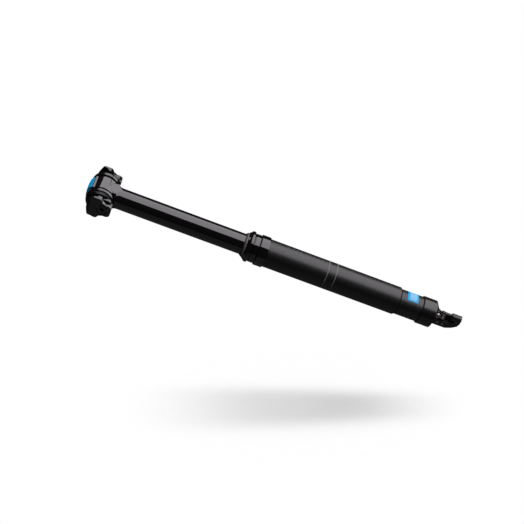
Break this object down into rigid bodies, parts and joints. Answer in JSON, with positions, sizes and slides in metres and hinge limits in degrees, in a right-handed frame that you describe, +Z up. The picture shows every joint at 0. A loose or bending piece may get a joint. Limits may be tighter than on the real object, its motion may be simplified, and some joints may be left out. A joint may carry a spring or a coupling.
{
  "type": "dropper seatpost",
  "caption": "Height-adjustable bicycle seatpost: sliding stanchion with side-clamp head, gland collar, stepped outer tube and cable-worked lever at the foot.",
  "frame": {"origin": "on the post's axis at the collar's lower shoulder, where insertion in the seat tube stops", "axes": "+Z up the post towards the saddle, +X forward along the saddle rails, +Y to the rider's left"},
  "size_m": [0.0342, 0.0544, 0.4259],
  "materials": {
    "satin_black_tube": "satin black anodised",
    "gloss_black_post": "gloss black anodised",
    "gloss_black_collar": "gloss black anodised",
    "black_forged": "satin black anodised forging",
    "blue_insert": "glossy moulded plastic",
    "wiper_rubber": "matt black rubber",
    "tan_ring": "warm grey foam rubber",
    "seal_rubber": "black seal rubber",
    "bearing_polymer": "bearing polymer",
    "black_plastic": "moulded plastic",
    "brass": "machined brass",
    "rod_steel": "ground and plated steel",
    "cartridge_alloy": "turned alloy",
    "bracket_black": "black anodised bracket",
    "bolt_steel": "blackened steel",
    "screw_steel": "bare steel",
    "lever_steel": "tumbled steel"
  },
  "bodies": {
    "outer": {"outer_tube": "satin_black_tube", "collar": "gloss_black_collar", "gland_nut": "gloss_black_collar", "upper_bushing": "bearing_polymer", "rod_seal": "seal_rubber", "wiper_seal": "wiper_rubber", "wiper_ring": "tan_ring", "end_cap": "satin_black_tube", "cap_seal": "seal_rubber", "piston_rod": "rod_steel", "piston": "brass", "piston_seal": "seal_rubber", "rod_nut": "bolt_steel", "bottom_bumper": "seal_rubber", "hook_bracket": "bracket_black", "bracket_rivets": "screw_steel", "pivot_pin": "screw_steel", "housing_ferrule": "lever_steel"},
    "post": {"upper_post": "gloss_black_post", "crown_insert": "blue_insert", "glide_ring": "bearing_polymer", "keys": "brass", "top_out_spacer": "black_plastic", "retainer": "cartridge_alloy", "gas_cylinder": "cartridge_alloy", "cylinder_gland": "brass", "cylinder_plug": "cartridge_alloy"},
    "float": {"floating_piston": "cartridge_alloy"},
    "saddle_clamp": {"inner_clamp_right": "black_forged", "inner_clamp_left": "black_forged"},
    "right_clamp": {"outer_clamp_right": "black_forged"},
    "left_clamp": {"outer_clamp_left": "black_forged", "clamp_nut": "bolt_steel"},
    "bolt": {"clamp_bolt": "bolt_steel", "bolt_washer": "bolt_steel"},
    "lever": {"cam_lever": "lever_steel"},
    "barrel": {"cable_barrel": "screw_steel", "anchor_screw": "screw_steel"},
    "release": {"release_pin": "rod_steel"}
  },
  "joints": [
    {"name": "post_travel", "type": "slide", "parent": "outer", "child": "post", "axis": [0, 0, 1], "range_m": [-0.12, 0], "stiffness_N_per_m": 200, "springref_m": 0.15},
    {"name": "float_slide", "type": "slide", "parent": "post", "child": "float", "axis": [0, 0, 1], "range_m": [0, 0.03374]},
    {"name": "saddle_tilt", "type": "hinge", "parent": "post", "child": "saddle_clamp", "pos_m": [0, 0, 0.1842], "axis": [0, 1, 0], "range_deg": [-12, 12]},
    {"name": "right_clamp_slide", "type": "slide", "parent": "saddle_clamp", "child": "right_clamp", "axis": [0, -1, 0], "range_m": [0, 0.003]},
    {"name": "left_clamp_slide", "type": "slide", "parent": "saddle_clamp", "child": "left_clamp", "axis": [0, 1, 0], "range_m": [0, 0.003]},
    {"name": "bolt_turn", "type": "hinge", "parent": "right_clamp", "child": "bolt", "pos_m": [0, 0, 0.1784], "axis": [0, 1, 0], "continuous": true},
    {"name": "lever_turn", "type": "hinge", "parent": "outer", "child": "lever", "pos_m": [0.003, 0, -0.2055], "axis": [0, 1, 0], "range_deg": [0, 16], "stiffness_Nm_per_rad": 0.01, "springref_deg": -11.46},
    {"name": "barrel_swivel", "type": "hinge", "parent": "lever", "child": "barrel", "pos_m": [0.0054, 0, -0.1983], "axis": [0, 1, 0], "range_deg": [-20, 20]},
    {"name": "pin_push", "type": "slide", "parent": "outer", "child": "release", "axis": [0, 0, 1], "range_m": [0, 0.00075]}
  ],
  "couplings": [
    {"joint": "float_slide", "follows": "post_travel", "ratio": -0.27701},
    {"joint": "lever_turn", "follows": "pin_push", "rad_per_m": 370.37}
  ]
}
